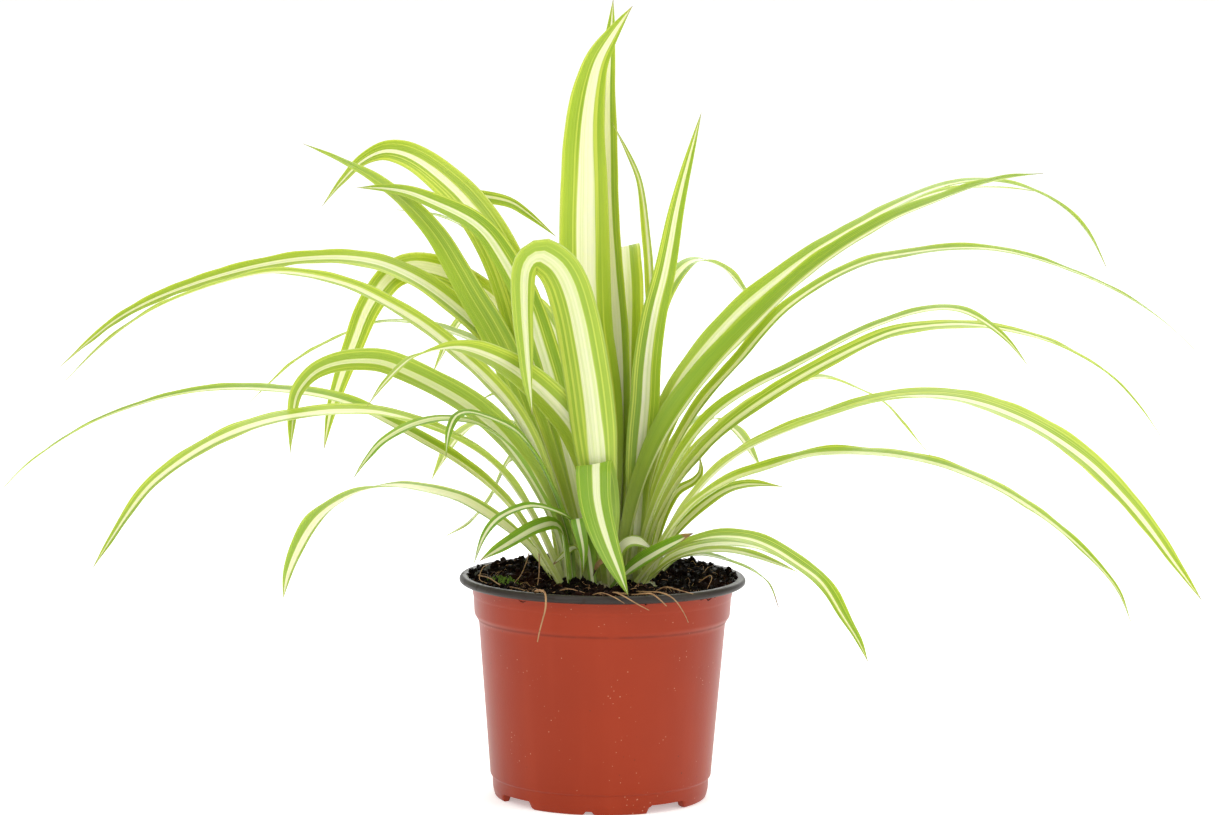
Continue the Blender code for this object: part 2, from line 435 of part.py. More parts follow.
class Leaf:
    """A strap leaf as rings of four: left margin, midrib underside, right margin, midrib top."""

    def __init__(self, name, width, depth, twist, path, heading=None, taper=TAPER):
        self.name = name
        flat = smooth_through(path, np.linspace(0, 1, 16 * len(path)))
        share = length_along(flat)
        line = eased(sighted(flat, smooth_through(depth, share / share[-1])))
        if heading is None:
            lean = line[-1] - line[0]
            heading = math.degrees(math.atan2(lean[1], lean[0]))
        self.place_rings(line, twist, heading)
        share = self.share
        swell = np.clip(share / 0.35, 0, 1)
        swell = BASE_WIDTH + (1 - BASE_WIDTH) * swell * swell * (3 - 2 * swell)
        self.width = width * swell * np.clip(1 - share**taper, 0, 1) ** 0.85
        self.thickness = BLADE_THICKNESS[0] + (BLADE_THICKNESS[1] - BLADE_THICKNESS[0]) * share
        self.channel = smooth_through(CHANNEL, share) / (1 + FLATTENING * self.bend)

    def place_rings(self, line, twist, heading):
        """Spaces the rings closer where the leaf bends, and carries the blade's level line along it."""
        along = length_along(line)
        tangents = unit(np.gradient(line, along, axis=0))
        bend = np.linalg.norm(np.gradient(tangents, along, axis=0), axis=1)
        effort = along + BEND_EFFORT * np.concatenate([[0], np.cumsum(bend[1:] * np.diff(along))])
        count = int(np.clip(round(effort[-1] / RING_PITCH) + 3, FEWEST_RINGS, MOST_RINGS))
        chosen = np.searchsorted(effort, np.linspace(0, effort[-1], count)).clip(0, len(line) - 1)
        heading = math.radians(heading)
        across = np.array([-math.sin(heading), math.cos(heading), 0.0])
        front = -1.0 if across[1] < -0.1 else 1.0
        levels = []
        for tangent in tangents:
            across = unit(across - tangent * (across @ tangent))
            levels.append(across)
        levels = np.array(levels)
        turn = front * np.radians(smooth_through(twist, along / along[-1]))[:, None]
        ups = np.cross(tangents, levels)
        self.centre = line[chosen]
        self.across = (np.cos(turn) * levels + np.sin(turn) * ups)[chosen]
        self.up = (np.cos(turn) * ups - np.sin(turn) * levels)[chosen]
        self.share = along[chosen] / along[-1]
        self.bend = bend[chosen]

    def rings(self, grow=0.0):
        """The rings' points in millimetres; grow thickens and widens the blade by this much all round."""
        half = (self.width / 2 + grow)[:, None]
        rise = (self.channel * self.width / 2)[:, None] * self.up
        thick = (self.thickness / 2 + grow)[:, None] * self.up
        left = self.centre - self.across * half + rise
        right = self.centre + self.across * half + rise
        midrib = self.centre - rise
        return np.stack([left, midrib - thick, right, midrib + thick], axis=1)

    def faces(self):
        """Quads between the rings, a two-piece base cap and a fan round the tip."""
        last = len(self.centre) - 1
        made = [(0, 3, 1), (1, 3, 2)]
        for ring in range(last - 1):
            for corner in range(4):
                after = (corner + 1) % 4
                quad = (corner, after, after + 4, corner + 4)
                made.append(tuple(4 * ring + index for index in quad))
        tip = 4 * last
        made += [(tip - 4 + corner, tip - 4 + (corner + 1) % 4, tip) for corner in range(4)]
        return made

    def vertices(self, grow=0.0):
        rings = self.rings(grow)
        return np.concatenate([rings[:-1].reshape(-1, 3), self.centre[-1:]])

    def skin(self):
        """A closed bmesh: the base's two faces, drawn out from ring to ring and gathered at the tip.

        Both sides of the blade fold from a margin's corner to the next ring's midrib, so that they
        can't cross where the leaf twists.
        """
        bm = bmesh.new()
        rings = self.rings() * MM
        rings[-1] = self.centre[-1] * MM
        left, under, right, top = corners = [bm.verts.new(place) for place in rings[0]]
        bm.faces.new((left, top, under))
        bm.faces.new((under, top, right))
        edges = [edge for edge in bm.edges if edge.is_boundary]
        for ring in rings[1:]:
            drawn = bmesh.ops.extrude_edge_only(bm, edges=edges)["geom"]
            fresh = {part for part in drawn if isinstance(part, bmesh.types.BMVert)}
            drawn_edges = [part for part in drawn if isinstance(part, bmesh.types.BMEdge)]
            edges = [edge for edge in drawn_edges if fresh.issuperset(edge.verts)]
            for index, place in enumerate(ring):
                follower = [fresh.intersection(edge.verts) for edge in corners[index].link_edges]
                corners[index] = set.union(*follower).pop()
                corners[index].co = place
            for margin in (left, right):
                bmesh.ops.connect_verts(bm, verts=[margin, corners[1], corners[3]])
            left, right = corners[0], corners[2]
        bmesh.ops.pointmerge(bm, verts=corners, merge_co=Vector(rings[-1][0]))
        return bm

    def tree(self, grow):
        return BVHTree.FromPolygons(self.vertices(grow).tolist(), self.faces())

    def shift(self, depths):
        """Moves each ring's centre along its line of sight by this much depth."""
        self.centre = self.centre + (self.centre - EYE) * (depths / -EYE[1])[:, None]


def seat(leaf):
    """Sets the leaf's base on the crown under it, a gap above, and eases the lift out along the leaf."""
    base = leaf.rings()[0]
    ground = np.array([soil_height(x, y) for x, y in base[:, :2]])
    for centre, half in CROWNS.values():
        out = np.hypot((base[:, 0] - centre[0]) / half[0], (base[:, 1] - centre[1]) / half[1])
        ground = np.maximum(ground, centre[2] + half[2] * np.sqrt(np.clip(1 - out**CROWN_FLATNESS, 0, 1)))
    lift = (ground - base[:, 2]).max() + GAP
    ease = np.clip(1 - length_along(leaf.centre) / EASE_LENGTH, 0, 1) ** 2
    leaf.centre[:, 2] += lift * ease


def spread(leaves):
    """Moves leaves that touch apart in depth, a little at a time, so that what is sighted stays."""
    order = {}
    for _ in range(SPREAD_ROUNDS):
        trees = [leaf.tree(SPREAD_CLEARANCE) for leaf in leaves]
        lows = np.array([leaf.centre.min(axis=0) for leaf in leaves]) - SPREAD_MARGIN
        highs = np.array([leaf.centre.max(axis=0) for leaf in leaves]) + SPREAD_MARGIN
        push = [np.zeros(len(leaf.centre)) for leaf in leaves]
        for i, first in enumerate(leaves):
            for j in range(i + 1, len(leaves)):
                if (lows[i] > highs[j]).any() or (lows[j] > highs[i]).any():
                    continue
                hits = trees[i].overlap(trees[j])
                if not hits:
                    continue
                rings_i = ring_of([a for a, _ in hits], first)
                rings_j = ring_of([b for _, b in hits], leaves[j])
                if (i, j) not in order:
                    gap = first.centre[rings_i, 1].mean() - leaves[j].centre[rings_j, 1].mean()
                    order[i, j] = 1.0 if gap > 0 else -1.0
                push[i][np.unique(rings_i)] += order[i, j] * SPREAD_STEP
                push[j][np.unique(rings_j)] -= order[i, j] * SPREAD_STEP
        if not any(wanted.any() for wanted in push):
            break
        for leaf, wanted in zip(leaves, push):
            if wanted.any():
                move_smoothly(leaf, np.clip(wanted, -2 * SPREAD_STEP, 2 * SPREAD_STEP))


def ring_of(faces, leaf):
    """The ring at which each of these faces starts."""
    rings = (np.asarray(faces) - 2) // 4
    return np.clip(rings, 0, len(leaf.centre) - 2)


def move_smoothly(leaf, wanted):
    """Spreads the wanted moves along the leaf; the base hardly gives, as it is held by its crown."""
    along = length_along(leaf.centre)
    reach = SWAY_SHARE * along[-1] + SWAY_LENGTH
    weights = np.exp(-(((along[:, None] - along[None, :]) / reach) ** 2))
    moves = weights @ wanted / np.maximum(weights.sum(axis=1), SWAY_WEIGHT)
    leaf.shift(moves * np.clip(BASE_GIVE + along / GIVE_LENGTH, 0, 1))
    crown, half = min(CROWNS.values(), key=lambda crown: abs(crown[0][0] - leaf.centre[0, 0]))
    over = abs(leaf.centre[0, 1] - crown[1]) - BASE_REACH * half[1]
    if over > 0:
        back = math.copysign(over, crown[1] - leaf.centre[0, 1])
        leaf.shift(back * np.exp(-((along / EASE_LENGTH) ** 2)))


def build_leaves():
    leaves = [Leaf(name, **facts) for name, facts in LEAVES.items()]
    for leaf in leaves:
        seat(leaf)
    spread(leaves)
    for leaf in leaves:
        seat(leaf)
    finish = material("variegated_leaf", (0.36, 0.50, 0.06), 0.45)
    for leaf in leaves:
        add_object(leaf.name, mesh_from(leaf.skin(), leaf.name), finish)


def build_roots():
    finish = material("dry_root", (0.42, 0.24, 0.10), 0.8)
    for name, facts in ROOTS.items():
        curve = bpy.data.curves.new(name, "CURVE")
        curve.dimensions = "3D"
        curve.bevel_depth = facts["radius"] * MM
        curve.bevel_resolution = 1
        curve.use_fill_caps = True
        line = smooth_through(facts["points"], np.linspace(0, 1, 3 * len(facts["points"])))
        spline = curve.splines.new("POLY")
        spline.points.add(len(line) - 1)
        for point, place in zip(spline.points, line):
            point.co = (*(place * MM), 1.0)
        add_object(name, curve, finish)


def main():
    for obj in list(bpy.data.objects):
        bpy.data.objects.remove(obj)
    build_pot()
    build_soil()
    build_crowns()
    build_leaves()
    build_roots()


main()
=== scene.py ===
import math
import random

import bmesh
import bpy
import numpy as np
from mathutils import Matrix, Vector, noise


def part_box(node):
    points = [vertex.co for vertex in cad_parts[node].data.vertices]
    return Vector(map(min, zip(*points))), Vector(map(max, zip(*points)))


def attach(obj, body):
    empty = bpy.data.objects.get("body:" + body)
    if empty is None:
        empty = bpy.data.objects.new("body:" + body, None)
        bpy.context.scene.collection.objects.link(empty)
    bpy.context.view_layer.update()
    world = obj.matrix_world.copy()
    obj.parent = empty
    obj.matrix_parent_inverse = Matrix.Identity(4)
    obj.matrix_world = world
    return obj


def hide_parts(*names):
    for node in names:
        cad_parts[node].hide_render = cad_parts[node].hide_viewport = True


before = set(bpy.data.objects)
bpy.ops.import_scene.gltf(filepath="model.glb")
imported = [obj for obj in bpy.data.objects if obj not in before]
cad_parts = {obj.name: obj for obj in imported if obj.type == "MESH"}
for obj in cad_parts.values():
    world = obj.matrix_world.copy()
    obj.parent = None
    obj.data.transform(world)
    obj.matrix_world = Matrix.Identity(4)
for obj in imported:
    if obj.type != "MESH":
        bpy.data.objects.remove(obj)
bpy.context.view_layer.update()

mm = 0.001
print("frame:", len(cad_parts), "pieces")


# Small helpers for making and placing pieces

def settle(bm, name, material, replaced=(), sharp=35):
    # a finished mesh becomes a piece that rides on the plant's one body
    mesh = bpy.data.meshes.new(name)
    bm.to_mesh(mesh)
    bm.free()
    mesh.shade_smooth()
    mesh.set_sharp_from_angle(angle=math.radians(sharp))
    return adopt(mesh, name, material, replaced)


def adopt(mesh, name, material, replaced=()):
    piece = bpy.data.objects.new(name, mesh)
    mesh.materials.append(material)
    bpy.context.scene.collection.objects.link(piece)
    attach(piece, "root")
    if replaced:
        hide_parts(*replaced)
    return piece


def flow(points, at):
    # Catmull-Rom through the points, read at places counted in points
    points = np.asarray(points, float)
    ends = np.concatenate([2 * points[:1] - points[1:2], points, 2 * points[-1:] - points[-2:-1]])
    at = np.clip(np.asarray(at, float), 0, len(points) - 1)
    first = np.minimum(at.astype(int), len(points) - 2)
    t = (at - first).reshape(-1, *[1] * (points.ndim - 1))
    a, b, c, d = (ends[first + k] for k in range(4))
    return 0.5 * (2 * b + (c - a) * t + (2 * a - 5 * b + 4 * c - d) * t**2 + (3 * b - a - 3 * c + d) * t**3)


def unit(vectors):
    return vectors / np.maximum(np.linalg.norm(vectors, axis=-1, keepdims=True), 1e-12)


def smooth(x, low=0.0, high=1.0):
    t = np.clip((x - low) / (high - low), 0, 1)
    return t * t * (3 - 2 * t)


# Shader maths: a wire can be added, multiplied and so on, and each step is a Math node

class Wire:
    def __init__(self, paint, socket):
        self.paint = paint
        self.socket = socket

    def __add__(self, other):
        return self.paint.maths("ADD", self, other)

    def __radd__(self, other):
        return self.paint.maths("ADD", other, self)

    def __sub__(self, other):
        return self.paint.maths("SUBTRACT", self, other)

    def __rsub__(self, other):
        return self.paint.maths("SUBTRACT", other, self)

    def __mul__(self, other):
        return self.paint.maths("MULTIPLY", self, other)

    def __rmul__(self, other):
        return self.paint.maths("MULTIPLY", other, self)

    def __truediv__(self, other):
        return self.paint.maths("DIVIDE", self, other)

    def __abs__(self):
        return self.paint.maths("ABSOLUTE", self)

    def held(self):
        # kept between 0 and 1
        return self.paint.node("Math", {"operation": "ADD", "use_clamp": True}, {0: self, 1: 0.0})

    def above(self, level, soft):
        # 0 below the level, 1 above it, over a soft edge
        return ((self - level) / soft + 0.5).held()


class Paint:
    def __init__(self, name):
        self.material = bpy.data.materials.new(name)
        self.material.use_nodes = True
        self.tree = self.material.node_tree
        self.shader = self.tree.nodes["Principled BSDF"]

    def plug(self, socket, value):
        if isinstance(value, Wire):
            self.tree.links.new(value.socket, socket)
        elif isinstance(value, str):
            socket.default_value = (*rgb(value), 1.0)
        else:
            socket.default_value = value

    def node(self, kind, settings=None, values=None, output=0):
        made = self.tree.nodes.new("ShaderNode" + kind)
        for name, value in (settings or {}).items():
            setattr(made, name, value)
        for socket, value in (values or {}).items():
            self.plug(made.inputs[socket], value)
        return Wire(self, made.outputs[output])

    def maths(self, operation, *values):
        return self.node("Math", {"operation": operation}, dict(enumerate(values)))

    def blend(self, share, low, high):
        # a colour between two colours
        return self.node("Mix", {"data_type": "RGBA", "clamp_factor": True}, {0: share, 6: low, 7: high}, 2)

    def place(self):
        return self.node("TexCoord", output=3)

    def split(self, vector):
        whole = self.node("SeparateXYZ", values={0: vector})
        return [Wire(self, whole.socket.node.outputs[axis]) for axis in range(3)]

    def join(self, x, y, z=0.0):
        return self.node("CombineXYZ", values={0: x, 1: y, 2: z})

    def grain(self, vector, scale, detail=2.0, roughness=0.5):
        values = {"Vector": vector, "Scale": scale, "Detail": detail, "Roughness": roughness}
        return self.node("TexNoise", values=values)

    def cells(self, vector, scale):
        return self.node("TexVoronoi", values={"Vector": vector, "Scale": scale})

    def relief(self, height, depth, strength):
        return self.node("Bump", values={"Strength": strength, "Distance": depth, "Height": height})

    def finish(self, **sockets):
        for name, value in sockets.items():
            self.plug(self.shader.inputs[name.replace("_", " ")], value)
        return self.material


def rgb(code):
    # "#RRGGBB" as it looks on a screen, to the light it stands for
    parts = [int(code[i:i + 2], 16) / 255 for i in (1, 3, 5)]
    return [part / 12.92 if part <= 0.04045 else ((part + 0.055) / 1.055) ** 2.4 for part in parts]


# Leaf finish: green margins, a cream band along the middle and fine parallel veins

leafColour = {
    "margin": "#94A924", "deep": "#648F14", "bright": "#A8BA30", "cream": "#E8E6C2",
    "creamShade": "#CAD494", "line": "#C3CC4E", "base": "#DCE69A", "under": "#AEC052",
    "dry": "#8A6A40", "scorch": "#3A2618",
}
leafFine = {"veins": 40.0, "veinDepth": 0.00007, "lightDepth": 0.0016}


def leafFinish():
    # around runs from one margin over the top to the other and back underneath, and along from base to tip
    paint = Paint("leaf_blade")
    around, along, _ = paint.split(paint.node("UVMap", {"uv_map": "blade"}))
    seed, band, green = paint.split(paint.node("Attribute", {"attribute_name": "leafFacts"}, output=1))
    dry, shade, length = paint.split(paint.node("Attribute", {"attribute_name": "leafEnds"}, output=1))
    shift, streaks, pale = paint.split(paint.node("Attribute", {"attribute_name": "leafSides"}, output=1))
    across = 1 - abs(2 * around - 1)
    off = 2 * across - 1
    side = abs(off)
    under = around.above(0.5, 0.002)
    run = along * length  # in centimetres from the base
    # grain that is long along the leaf, in three widths, and a slow wander of the band
    wander = paint.grain(paint.join(seed * 9.0, run * 0.35, seed), 1.0, 1.0) - 0.5
    wide = paint.grain(paint.join(off * 2.6 + seed * 13.0, run * 0.06, seed * 7.0), 1.0, 1.0)
    fine = paint.grain(paint.join(off * 8.0 + seed * 31.0, run * 0.035, seed * 3.0), 1.0, 1.0)
    hair = paint.grain(paint.join(off * 24.0 + seed * 17.0, run * 0.05, seed * 5.0), 1.0, 1.0)
    # the band is wider at the base, and its edge is ragged
    nearBase = (1 - along * 3.0).held()
    away = abs(off - shift)
    edge = band + 0.18 * nearBase - 0.1 * along + 0.1 * wander + 0.42 * (wide - 0.5) * (0.4 + side)
    cream = (edge - away).above(0.0, 0.05)
    outer = (away - edge).above(0.04, 0.05) * (1 - side).above(0.07, 0.05)
    lines = fine.above(0.66 - 0.1 * streaks, 0.04) * outer
    inner = (hair.above(0.55, 0.14) * 0.35 + fine.above(0.52, 0.2) * (0.25 + 0.55 * pale)).held()
    # greens of the margins, then the cream between them
    tone = (green + 0.25 * nearBase + 0.5 * (wide - 0.5) + 0.25 * wander + 0.2 * (hair - 0.5)).held()
    leafGreen = paint.blend(tone, leafColour["deep"], leafColour["margin"])
    leafGreen = paint.blend((tone - 0.55) * 1.6, leafGreen, leafColour["bright"])
    leafGreen = paint.blend(hair.above(0.6, 0.1) * 0.28, leafGreen, leafColour["deep"])
    leafGreen = paint.blend(lines * 0.7, leafGreen, leafColour["line"])
    halo = (1 - abs(away - edge) * 14.0).held() * 0.6
    leafGreen = paint.blend(halo, leafGreen, leafColour["line"])
    creamBand = paint.blend(inner, leafColour["cream"], leafColour["creamShade"])
    colour = paint.blend(cream * (1 - 0.25 * pale), leafGreen, creamBand)
    colour = paint.blend(under * 0.3 * (1 - cream), colour, leafColour["under"])
    # paler towards the base: the leaf's own paler base, and painted light shining through the leaves there
    colour = paint.blend(nearBase * nearBase * 0.65, colour, leafColour["base"])
    colour = paint.blend(shade * (1 - cream * 0.85) * 0.8, colour, leafColour["deep"])
    # the dry tip, darker at its very end
    ragged = along + 0.03 * (hair - 0.5) + 0.04 * (side - 0.5) * dry.above(0.02, 0.01)
    colour = paint.blend(ragged.above(1.0 - dry, 0.03) * dry.above(0.001, 0.001), colour, leafColour["dry"])
    burnt = ragged.above(1.0 - dry * 0.35, 0.02) * dry.above(0.01, 0.01)
    colour = paint.blend(burnt, colour, leafColour["scorch"])
    veins = paint.maths("SINE", off * leafFine["veins"] + 2.0 * hair)
    height = veins * 0.5 + hair * 0.6
    rough = 0.4 + 0.12 * under + 0.12 * (hair - 0.5) + 0.25 * ragged.above(1.0 - dry, 0.03)
    return paint.finish(
        Base_Color=colour, Roughness=rough, Normal=paint.relief(height, leafFine["veinDepth"], 0.9),
        Subsurface_Weight=0.4, Subsurface_Radius=(1.0, 1.0, 0.35), Subsurface_Scale=leafFine["lightDepth"],
        Specular_IOR_Level=0.42,
    )


# Pot finish: moulded terracotta-coloured plastic with a grey rim, soil dust on the rim, painted shade under
# the collar and a few specks

potSize = {
    "rimDepth": 3.4, "rimInside": 57.0, "round": 0.7, "roundSteps": 4, "seam": 0.9,
    "collarRadius": 53.7, "collarFoot": 75.0, "ridgeHeight": 84.5, "ridge": 0.25,
    "wallTop": 51.7, "wallFoot": 46.4, "footRadius": 45.3, "floor": 3.8, "wall": 1.0,
    "steps": 240, "gaps": 4, "gapDegrees": 24.0, "gapSlope": 1.6, "firstFoot": -6.4,
    "notchWide": 3.6, "notchHigh": 1.5, "notchSlope": 0.6, "footBand": 5,
}
potLow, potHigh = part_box("nursery_pot")
potHeight = potHigh.z / mm
rimRadius = (potHigh.x - potLow.x) / 2 / mm
rimFoot = potHeight - potSize["rimDepth"]


def potFinish():
    paint = Paint("pot_plastic")
    place = paint.place()
    x, y, z = paint.split(place)
    cloud = paint.grain(place, 22.0, 3.0)
    streak = paint.grain(paint.join(x * 90.0, y * 90.0, z * 8.0), 1.0, 2.0)
    speck = paint.cells(place, 420.0)
    paleSpeck = (1 - speck).above(0.9, 0.03) * paint.grain(place, 60.0, 1.0).above(0.55, 0.1)
    darkSpeck = (1 - paint.cells(place, 230.0)).above(0.93, 0.02) * paint.grain(place, 35.0).above(0.55, 0.08)
    # the clay-coloured wall, with painted shade in the seam under the collar
    clay = paint.blend(cloud, "#842605", "#952E09")
    clay = paint.blend((streak - 0.5) * 0.7, clay, "#A33C1C")
    clay = paint.blend(paleSpeck * 0.6, clay, "#D09478")
    clay = paint.blend(darkSpeck * 0.85, clay, "#4A2417")
    radius = paint.maths("SQRT", x * x + y * y)
    seam = abs(z - potSize["collarFoot"] * mm)
    # painted shade: a dark line in the seam, where the ledge under the collar faces down
    seamShade = (1 - seam / (potSize["seam"] * mm)).held() * paint.grain(place, 120.0).above(0.35, 0.3) * 0.6
    clay = paint.blend(seamShade, clay, "#5F1A08")
    # the grey rim, paler inside, and soil dust on it
    rim = z.above((rimFoot - 0.15) * mm, 0.0002)
    inside = (1 - radius.above(potSize["rimInside"] * mm, 0.003)) * rim
    smear = paint.grain(place, 75.0, 4.0, 0.65)
    grey = paint.blend(smear, "#231E1A", "#332C27")
    grey = paint.blend(inside * 0.6, grey, "#7C7B7C")
    soilDust = (paint.grain(place, 160.0, 3.0, 0.7).above(0.6, 0.1) * smear.above(0.48, 0.2)).held()
    grey = paint.blend(soilDust * 0.75, grey, "#2B1C12")
    colour = paint.blend(rim, clay, grey)
    peel = paint.grain(place, 900.0, 2.0) + 1.5 * paint.grain(place, 60.0, 1.0)
    rough = 0.36 + 0.1 * (cloud - 0.5) + 0.25 * seamShade + rim * (0.06 + 0.35 * soilDust)
    return paint.finish(
        Base_Color=colour, Roughness=rough, Normal=paint.relief(peel, 0.00008, 0.35),
        Specular_IOR_Level=0.22,
    )


def roundOff(outline, reach, steps):
    # each inner corner of an outline becomes a short arc that starts this far from it, or almost halfway
    # to the next corner where that is nearer
    almostHalf = 0.45
    made = [outline[0]]
    for before, corner, after in zip(outline, outline[1:], outline[2:]):
        before, corner, after = (Vector(point) for point in (before, corner, after))
        cut = min(reach, almostHalf * (before - corner).length, almostHalf * (after - corner).length)
        start = corner + (before - corner).normalized() * cut
        end = corner + (after - corner).normalized() * cut
        for step in range(steps + 1):
            t = step / steps
            made.append(tuple(start * (1 - t) ** 2 + corner * 2 * t * (1 - t) + end * t * t))
    return made + [outline[-1]]


def spun(outline, steps):
    # an outline of (radius, height) in millimetres, from axis to axis, turned into a closed shape
    bm = bmesh.new()
    points = [bm.verts.new((radius * mm, 0, height * mm)) for radius, height in outline]
    edges = [bm.edges.new(pair) for pair in zip(points, points[1:])]
    bmesh.ops.spin(bm, geom=points + edges, cent=(0, 0, 0), axis=(0, 0, 1), angle=math.tau, steps=steps,
                   use_merge=True)
    bmesh.ops.remove_doubles(bm, verts=bm.verts, dist=0.004 * mm)
    bmesh.ops.recalc_face_normals(bm, faces=bm.faces)
    return bm


def potWall():
    # (radius, height) from the inside of the floor up, over the rim, and down the outside to the foot ring
    s = potSize
    inner = [
        (0, s["floor"] + s["wall"]), (s["wallFoot"] - 2.4, s["floor"] + s["wall"]),
        (s["wallFoot"] - 1.2, s["floor"] + 2.6), (s["wallTop"] - s["wall"], s["collarFoot"] - 1.4),
        (s["collarRadius"] - 1.2, s["collarFoot"] + 3), (s["collarRadius"] - 0.4, potHeight - 6),
        (s["collarRadius"] + 1.7, potHeight - 1.9),
    ]
    rim = [
        (rimRadius - 3.4, potHeight - 0.1), (rimRadius - 0.9, potHeight), (rimRadius, potHeight - 1.3),
        (rimRadius - 0.1, potHeight - 2.5), (rimRadius - 1.3, rimFoot), (s["collarRadius"] + 1.5, rimFoot),
    ]
    outer = [
        (s["collarRadius"] + 1.0, rimFoot - 1.4), (s["collarRadius"] + 0.6, s["ridgeHeight"] + 0.5),
        (s["collarRadius"] + 0.6 - s["ridge"], s["ridgeHeight"] - 0.3),
        (s["collarRadius"] - 0.1, s["collarFoot"] + 1.8), (s["wallTop"] + 0.75, s["collarFoot"]),
        (s["wallTop"], s["collarFoot"] - 1.4), (s["wallFoot"], 8.9), (s["footRadius"] + 0.2, 8.1),
        (s["footRadius"], 3.4), (s["footRadius"] - 0.8, 0.0), (s["footRadius"] - 3.4, 0.0),
        (s["footRadius"] - 4.0, s["floor"]), (0, s["floor"]),
    ]
    return roundOff(inner + rim + outer, s["round"], s["roundSteps"])


def footLift(angle):
    # how high the foot ring is cut away at this angle: wide gaps, and a small notch between them
    s = potSize
    gapWide = math.radians(s["gapDegrees"]) * s["footRadius"]
    lift = 0.0
    for index in range(s["gaps"]):
        foot = math.radians(-90 + s["firstFoot"] + index * 360 / s["gaps"])
        for centre, wide, high, slope in (
            (foot + math.pi / s["gaps"], gapWide, s["floor"] - 0.3, s["gapSlope"]),
            (foot, s["notchWide"], s["notchHigh"], s["notchSlope"]),
        ):
            away = abs((angle - centre + math.pi) % math.tau - math.pi) * s["footRadius"]
            lift = max(lift, high * float(smooth(wide / 2 + slope / 2 - away, 0, slope)))
    return lift


def buildPot():
    s = potSize
    bm = spun(potWall(), s["steps"])
    for vert in bm.verts:
        if vert.co.z < s["floor"] * mm and vert.co.xy.length > (s["footRadius"] - s["footBand"]) * mm:
            vert.co.z = max(vert.co.z, footLift(math.atan2(vert.co.y, vert.co.x)) * mm)
    settle(bm, "pot", potFinish(), ["nursery_pot"], sharp=40)


# Soil: a lumpy dark mix, heaped a little at the back, with crumbs, fibres and a scrap of moss

soilFacts = {
    "level": 91.1, "sunk": 1.2, "edge": 55.0, "rings": 84, "steps": 280, "seed": 7,
    "rise": 2.4, "rightRise": 0.9, "dip": 1.1, "dipWide": 5,
    "plane": 3.7, "lumps": 3.0, "lumpPitch": 0.085, "clods": 1.8, "clodPitch": 0.27,
    "grit": 0.5, "gritPitch": 0.6,
}


def soilFinish():
    paint = Paint("potting_mix")
    place = paint.place()
    clod = paint.grain(place, 170.0, 4.0, 0.65)
    bit = paint.cells(place, 520.0)
    colour = paint.blend(clod, "#040201", "#120805")
    colour = paint.blend(paint.grain(place, 45.0, 2.0).above(0.56, 0.12) * 0.6, colour, "#261007")
    shred = paint.grain(place, 650.0, 1.0).above(0.68, 0.05)
    colour = paint.blend(shred * 0.4, colour, "#5A3820")
    wet = paint.grain(place, 260.0, 2.0).above(0.57, 0.08)
    height = clod * 1.0 + bit * 0.5
    return paint.finish(
        Base_Color=colour, Roughness=0.92 - 0.5 * wet, Normal=paint.relief(height, 0.0006, 0.9),
        Specular_IOR_Level=0.08,
    )


def soilTop(x, y):
    # height of the soil at a place, in millimetres
    f = soilFacts
    spot = Vector((x, y, f["plane"]))
    hill = noise.noise(spot * f["lumpPitch"]) * f["lumps"]
    clod = abs(noise.noise(spot * f["clodPitch"])) * f["clods"]
    clod = clod + noise.noise(spot * f["gritPitch"]) * f["grit"]
    right = float(smooth(x, 15, 50)) * float(smooth(y, -25, 20))
    heap = f["rise"] * float(smooth(y, -30, 50)) + f["rightRise"] * right
    dip = f["dip"] * float(smooth(math.hypot(x, y), f["edge"] - f["dipWide"], f["edge"]))
    return f["level"] - f["sunk"] + hill + clod + heap - dip


def buildSoil(finish):
    f = soilFacts
    foot = potSize["wallFoot"] - 3.2
    low = potSize["floor"] + potSize["wall"] + 0.4
    outline = [(0, low), (foot, low), (potSize["wallTop"] - 1.6, potSize["collarFoot"] - 1.5),
               (potSize["collarRadius"] - 1.8, potSize["collarFoot"] + 3), (potSize["collarRadius"] - 1, 86)]
    top = [(f["edge"] * (1 - ring / f["rings"]), f["level"]) for ring in range(f["rings"] + 1)]
    bm = spun(outline + top, f["steps"])
    for vert in bm.verts:
        if vert.co.z > (f["level"] - 0.5) * mm:
            vert.co.z = soilTop(vert.co.x / mm, vert.co.y / mm) * mm
    settle(bm, "soil", finish, ["potting_soil"], sharp=60)


lumpFacts = {"cube": 1.2, "round": 0.75, "pitch": 1.3, "apart": 40}


def lump(rough, cuts, dice):
    # one crumb of unit size, as a mesh to be copied
    f = lumpFacts
    bm = bmesh.new()
    bmesh.ops.create_cube(bm, size=f["cube"])
    if cuts:
        bmesh.ops.subdivide_edges(bm, edges=bm.edges, cuts=cuts, use_grid_fill=True)
    shift = Vector([dice.uniform(-f["apart"], f["apart"]) for _ in range(3)])
    for vert in bm.verts:
        swell = 1 + rough * noise.noise(vert.co * f["pitch"] + shift)
        vert.co = vert.co.lerp(vert.co.normalized(), f["round"]) * swell
    mesh = bpy.data.meshes.new("crumb")
    bm.to_mesh(mesh)
    bm.free()
    return mesh


def scatter(name, shapes, spots, finish):
    # many copies of a few small shapes on the soil, gathered into one piece
    bm = bmesh.new()
    for index, matrix in enumerate(spots):
        copy = shapes[index % len(shapes)].copy()
        copy.transform(matrix)
        bm.from_mesh(copy)
        bpy.data.meshes.remove(copy)
    for shape in shapes:
        bpy.data.meshes.remove(shape)
    settle(bm, name, finish, sharp=50)


def turned(dice):
    a, b, c = (Matrix.Rotation(dice.uniform(0, math.tau), 4, axis) for axis in "XYZ")
    return a @ b @ c


crumbFacts = {
    "shapes": 9, "rimWide": 1, "rimSunk": 0.4, "proud": 0.25, "fewLarge": 3,
    "wide": (0.6, 1.1), "flat": (0.5, 0.9),
}
